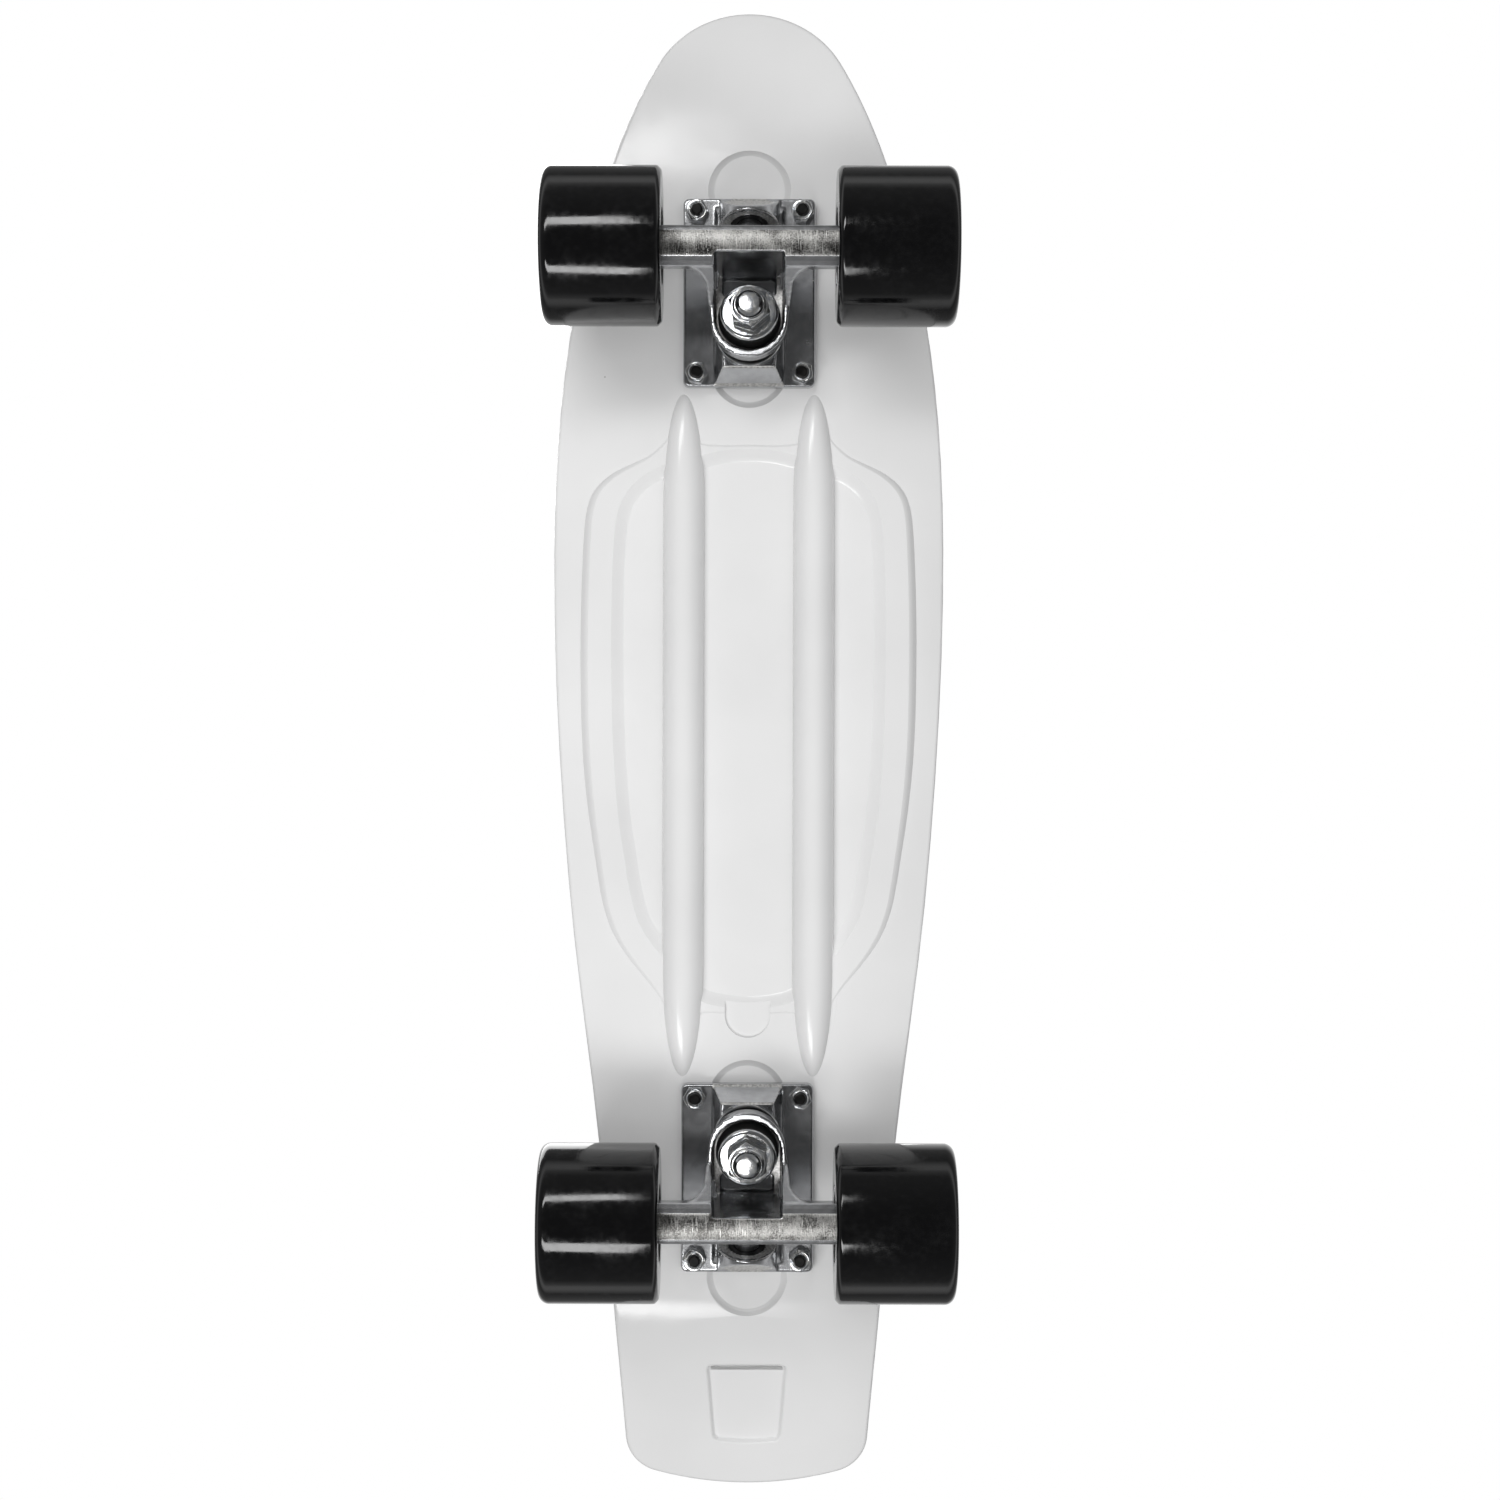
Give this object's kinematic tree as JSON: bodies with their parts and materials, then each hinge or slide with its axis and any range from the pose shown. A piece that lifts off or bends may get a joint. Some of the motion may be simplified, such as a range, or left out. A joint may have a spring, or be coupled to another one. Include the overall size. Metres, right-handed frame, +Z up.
{
  "type": "skateboard",
  "caption": "Small cruiser skateboard: ribbed white moulded plastic deck with a kicked tail, polished sprung trucks that steer when leaned, and free-spinning black wheels.",
  "frame": {"origin": "on the ground, under the middle of the deck's length and width", "axes": "+X along the axles, -Y towards the nose, +Y towards the kicked tail, +Z up through the deck"},
  "size_m": [0.156, 0.5884, 0.1123],
  "materials": {
    "deck_plastic": "glossy injection-moulded polypropylene",
    "wheel_urethane": "cast black polyurethane with a glossy tread",
    "truck_casting": "polished cast alloy with rough as-cast flats",
    "zinc_steel": "bright zinc plated steel",
    "axle_steel": "ground carbon steel",
    "bearing_steel": "ground bearing steel",
    "black_steel": "black oxide steel",
    "black_rubber": "soft black urethane"
  },
  "bodies": {
    "board": {"deck": "deck_plastic", "front_mounting_bolts": "black_steel", "front_mounting_nuts": "zinc_steel", "front_baseplate": "truck_casting", "front_pivot_cup": "black_rubber", "front_kingpin": "zinc_steel", "front_lower_washer": "zinc_steel", "front_lower_bushing": "black_rubber", "front_upper_bushing": "black_rubber", "front_upper_washer": "zinc_steel", "front_kingpin_nut": "zinc_steel", "rear_mounting_bolts": "black_steel", "rear_mounting_nuts": "zinc_steel", "rear_baseplate": "truck_casting", "rear_pivot_cup": "black_rubber", "rear_kingpin": "zinc_steel", "rear_lower_washer": "zinc_steel", "rear_lower_bushing": "black_rubber", "rear_upper_bushing": "black_rubber", "rear_upper_washer": "zinc_steel", "rear_kingpin_nut": "zinc_steel"},
    "front_hanger": {"front_hanger": "truck_casting", "front_axle": "axle_steel", "front_axle_nuts": "zinc_steel", "front_speed_washers": "zinc_steel", "front_bearing_spacers": "axle_steel", "front_bearing_inner_rings": "bearing_steel", "front_bearing_cages": "bearing_steel"},
    "rear_hanger": {"rear_hanger": "truck_casting", "rear_axle": "axle_steel", "rear_axle_nuts": "zinc_steel", "rear_speed_washers": "zinc_steel", "rear_bearing_spacers": "axle_steel", "rear_bearing_inner_rings": "bearing_steel", "rear_bearing_cages": "bearing_steel"},
    "front_left_wheel": {"front_left_wheel": "wheel_urethane", "front_left_bearing_outer_rings": "bearing_steel", "front_left_bearing_shields": "bearing_steel"},
    "front_right_wheel": {"front_right_wheel": "wheel_urethane", "front_right_bearing_outer_rings": "bearing_steel", "front_right_bearing_shields": "bearing_steel"},
    "rear_left_wheel": {"rear_left_wheel": "wheel_urethane", "rear_left_bearing_outer_rings": "bearing_steel", "rear_left_bearing_shields": "bearing_steel"},
    "rear_right_wheel": {"rear_right_wheel": "wheel_urethane", "rear_right_bearing_outer_rings": "bearing_steel", "rear_right_bearing_shields": "bearing_steel"}
  },
  "joints": [
    {"name": "front_steer", "type": "hinge", "parent": "board", "child": "front_hanger", "pos_m": [0, -0.16485, 0.0495], "axis": [0, 0.9134, -0.4071], "range_deg": [-12, 12], "stiffness_Nm_per_rad": 20, "deforming": ["front_lower_bushing", "front_upper_bushing"]},
    {"name": "rear_steer", "type": "hinge", "parent": "board", "child": "rear_hanger", "pos_m": [0, 0.15165, 0.0495], "axis": [0, 0.9134, 0.4071], "range_deg": [-12, 12], "stiffness_Nm_per_rad": 20, "deforming": ["rear_lower_bushing", "rear_upper_bushing"]},
    {"name": "front_left_spin", "type": "hinge", "parent": "front_hanger", "child": "front_left_wheel", "pos_m": [0, -0.19065, 0.03], "axis": [1, 0, 0], "continuous": true},
    {"name": "front_right_spin", "type": "hinge", "parent": "front_hanger", "child": "front_right_wheel", "pos_m": [0, -0.19065, 0.03], "axis": [1, 0, 0], "continuous": true},
    {"name": "rear_left_spin", "type": "hinge", "parent": "rear_hanger", "child": "rear_left_wheel", "pos_m": [0, 0.17745, 0.03], "axis": [1, 0, 0], "continuous": true},
    {"name": "rear_right_spin", "type": "hinge", "parent": "rear_hanger", "child": "rear_right_wheel", "pos_m": [0, 0.17745, 0.03], "axis": [1, 0, 0], "continuous": true}
  ]
}
